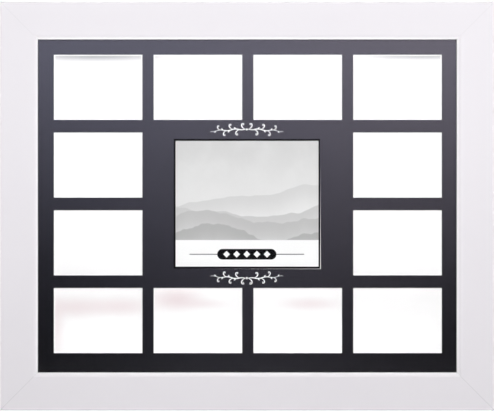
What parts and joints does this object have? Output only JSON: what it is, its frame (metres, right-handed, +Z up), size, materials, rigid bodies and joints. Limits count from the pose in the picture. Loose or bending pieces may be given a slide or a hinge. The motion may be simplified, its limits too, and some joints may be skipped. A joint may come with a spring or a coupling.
{
  "type": "collage photo frame",
  "caption": "Flat mitred white wood frame, glazed, with a black window mat round a large centre window; turn buttons hold the back panel and sawtooth hangers carry it on a wall.",
  "frame": {"origin": "the point of the wall behind the apex of the top sawtooth hanger's middle notch, where a wall nail carries the frame", "axes": "+X to the viewer's right along the long side, +Z up, +Y into the wall; the front faces -Y"},
  "size_m": [0.5842, 0.0222, 0.4826],
  "materials": {
    "painted_wood": "satin white paint on the face and sides, bare wood behind",
    "clear_glass": "clear float glass",
    "black_mat": "satin black facing paper on a white core",
    "white_board": "smooth white board",
    "printed_card": "smooth printed card",
    "hardboard": "smooth brown hardboard",
    "spring_steel": "zinc plated",
    "zinc_steel": "zinc plated",
    "clear_bumper": "soft clear polyurethane"
  },
  "bodies": {
    "frame": {"top_rail": "painted_wood", "bottom_rail": "painted_wood", "left_stile": "painted_wood", "right_stile": "painted_wood", "corner_v_nails": "zinc_steel", "glazing": "clear_glass", "mat_board": "black_mat", "insert_card": "printed_card", "mount_board": "white_board", "back_panel": "hardboard", "turn_button_screws": "zinc_steel", "sawtooth_hanger_top": "zinc_steel", "sawtooth_hanger_side": "zinc_steel", "wall_bumpers": "clear_bumper"},
    "button_top_left": {"turn_button_top_left": "spring_steel"},
    "button_top_right": {"turn_button_top_right": "spring_steel"},
    "button_right_upper": {"turn_button_right_upper": "spring_steel"},
    "button_right_lower": {"turn_button_right_lower": "spring_steel"},
    "button_bottom_right": {"turn_button_bottom_right": "spring_steel"},
    "button_bottom_left": {"turn_button_bottom_left": "spring_steel"},
    "button_left_lower": {"turn_button_left_lower": "spring_steel"},
    "button_left_upper": {"turn_button_left_upper": "spring_steel"}
  },
  "joints": [
    {"name": "top_left_swivel", "type": "hinge", "parent": "frame", "child": "button_top_left", "pos_m": [-0.1336, -0.003, -0.0049], "axis": [0, 1, 0], "continuous": true},
    {"name": "top_right_swivel", "type": "hinge", "parent": "frame", "child": "button_top_right", "pos_m": [0.1336, -0.003, -0.0049], "axis": [0, 1, 0], "continuous": true},
    {"name": "right_upper_swivel", "type": "hinge", "parent": "frame", "child": "button_right_upper", "pos_m": [0.2666, -0.003, -0.1159], "axis": [0, 1, 0], "continuous": true},
    {"name": "right_lower_swivel", "type": "hinge", "parent": "frame", "child": "button_right_lower", "pos_m": [0.2666, -0.003, -0.3255], "axis": [0, 1, 0], "continuous": true},
    {"name": "bottom_right_swivel", "type": "hinge", "parent": "frame", "child": "button_bottom_right", "pos_m": [0.1336, -0.003, -0.4365], "axis": [0, 1, 0], "continuous": true},
    {"name": "bottom_left_swivel", "type": "hinge", "parent": "frame", "child": "button_bottom_left", "pos_m": [-0.1336, -0.003, -0.4365], "axis": [0, 1, 0], "continuous": true},
    {"name": "left_lower_swivel", "type": "hinge", "parent": "frame", "child": "button_left_lower", "pos_m": [-0.2666, -0.003, -0.3255], "axis": [0, 1, 0], "continuous": true},
    {"name": "left_upper_swivel", "type": "hinge", "parent": "frame", "child": "button_left_upper", "pos_m": [-0.2666, -0.003, -0.1159], "axis": [0, 1, 0], "continuous": true}
  ]
}
